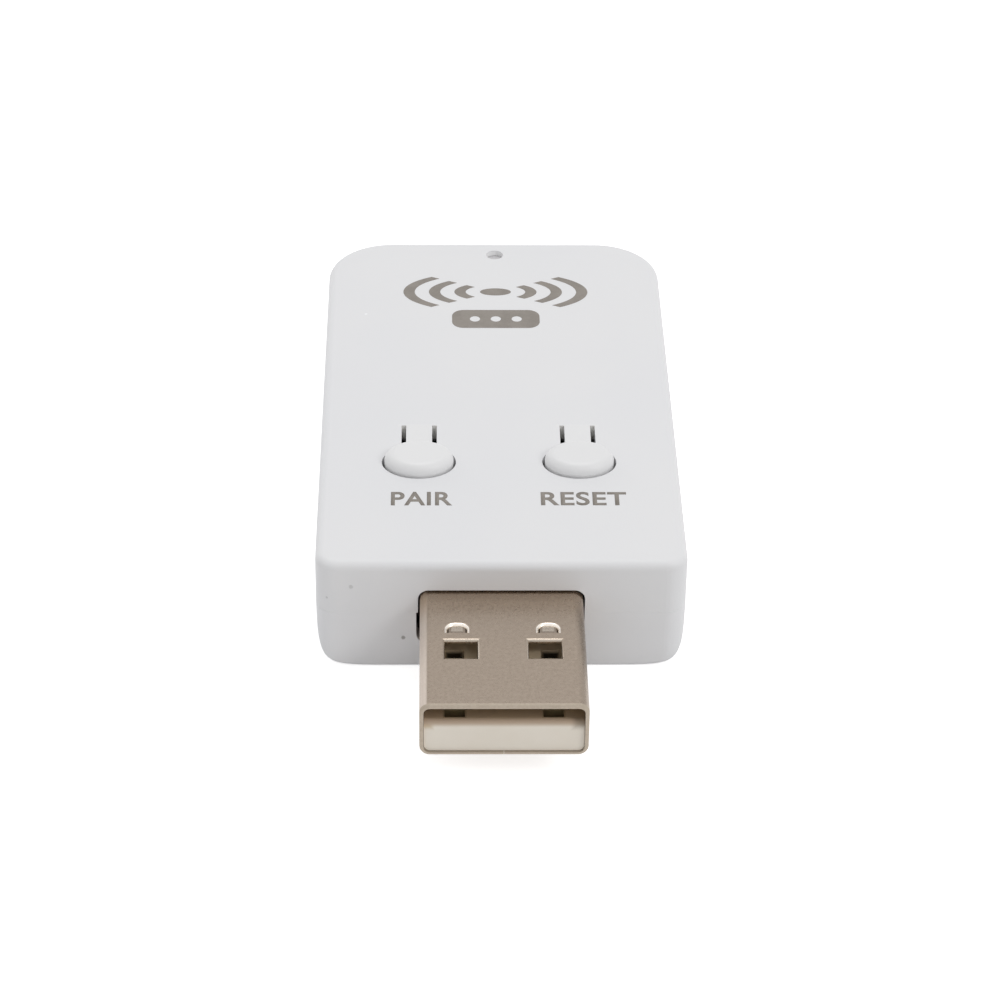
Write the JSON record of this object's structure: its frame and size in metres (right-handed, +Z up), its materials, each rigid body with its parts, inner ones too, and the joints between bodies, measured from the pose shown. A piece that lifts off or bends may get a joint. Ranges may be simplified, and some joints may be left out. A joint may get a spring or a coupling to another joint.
{
  "type": "wireless usb gateway",
  "caption": "White plastic wireless gateway on a USB plug: two press buttons, a status light hole and a metal plug.",
  "frame": {"origin": "on the surface that the underside rests on, under the middle of the whole length, plug included", "axes": "+X across the body, to the right as seen from the plug's end; +Y along the body, from the plug's tip to the rounded rear; +Z up out of the face with the buttons"},
  "size_m": [0.0274, 0.0604, 0.0103],
  "materials": {
    "white_case": "fine satin white moulding",
    "white_button": "smooth satin white moulding",
    "nickel_sheet": "nickel-plated steel sheet, satin",
    "plug_insulator": "off-white moulding",
    "gold_contact": "gold-plated",
    "board_laminate": "green solder mask",
    "black_moulding": "black moulding compound",
    "steel_plate": "pressed steel",
    "plunger_plastic": "ivory moulding",
    "tinned_metal": "tinned sheet",
    "clear_plastic": "clear moulding",
    "led_package": "white package with a clear lens",
    "antenna_ceramic": "white ceramic",
    "ferrite": "dark ferrite",
    "grey_ink": "pad-printed warm grey ink",
    "tan_ceramic": "tan ceramic"
  },
  "bodies": {
    "housing": {"top_cover": "white_case", "bottom_case": "white_case", "usb_shell": "nickel_sheet", "usb_insulator": "plug_insulator", "usb_contact_1": "gold_contact", "usb_contact_2": "gold_contact", "usb_contact_3": "gold_contact", "usb_contact_4": "gold_contact", "circuit_board": "board_laminate", "pair_switch_base": "black_moulding", "reset_switch_base": "black_moulding", "pair_switch_frame": "steel_plate", "reset_switch_frame": "steel_plate", "switch_terminals": "tinned_metal", "light_pipe": "clear_plastic", "status_led": "led_package", "radio_shield": "tinned_metal", "radio_chip": "black_moulding", "radio_crystal": "steel_plate", "memory_chip": "black_moulding", "chip_antenna": "antenna_ceramic", "voltage_regulator": "black_moulding", "power_inductor": "ferrite", "surge_diode": "black_moulding", "capacitors": "tan_ceramic", "resistors": "black_moulding"},
    "pair_button": {"pair_button": "white_button"},
    "pair_plunger": {"pair_switch_plunger": "plunger_plastic"},
    "reset_button": {"reset_button": "white_button"},
    "reset_plunger": {"reset_switch_plunger": "plunger_plastic"}
  },
  "joints": [
    {"name": "pair_press", "type": "hinge", "parent": "housing", "child": "pair_button", "pos_m": [-0.00612, 0.00183, 0.0085], "axis": [1, 0, 0], "range_deg": [0, 2.8], "stiffness_Nm_per_rad": 0.2},
    {"name": "pair_plunge", "type": "slide", "parent": "housing", "child": "pair_plunger", "axis": [0, 0, -1], "range_m": [0, 0.00025]},
    {"name": "reset_press", "type": "hinge", "parent": "housing", "child": "reset_button", "pos_m": [0.00612, 0.00183, 0.0085], "axis": [1, 0, 0], "range_deg": [0, 2.8], "stiffness_Nm_per_rad": 0.2},
    {"name": "reset_plunge", "type": "slide", "parent": "housing", "child": "reset_plunger", "axis": [0, 0, -1], "range_m": [0, 0.00025]}
  ],
  "couplings": [
    {"joint": "pair_plunge", "follows": "pair_press", "m_per_rad": 0.00508},
    {"joint": "reset_plunge", "follows": "reset_press", "m_per_rad": 0.00508}
  ]
}
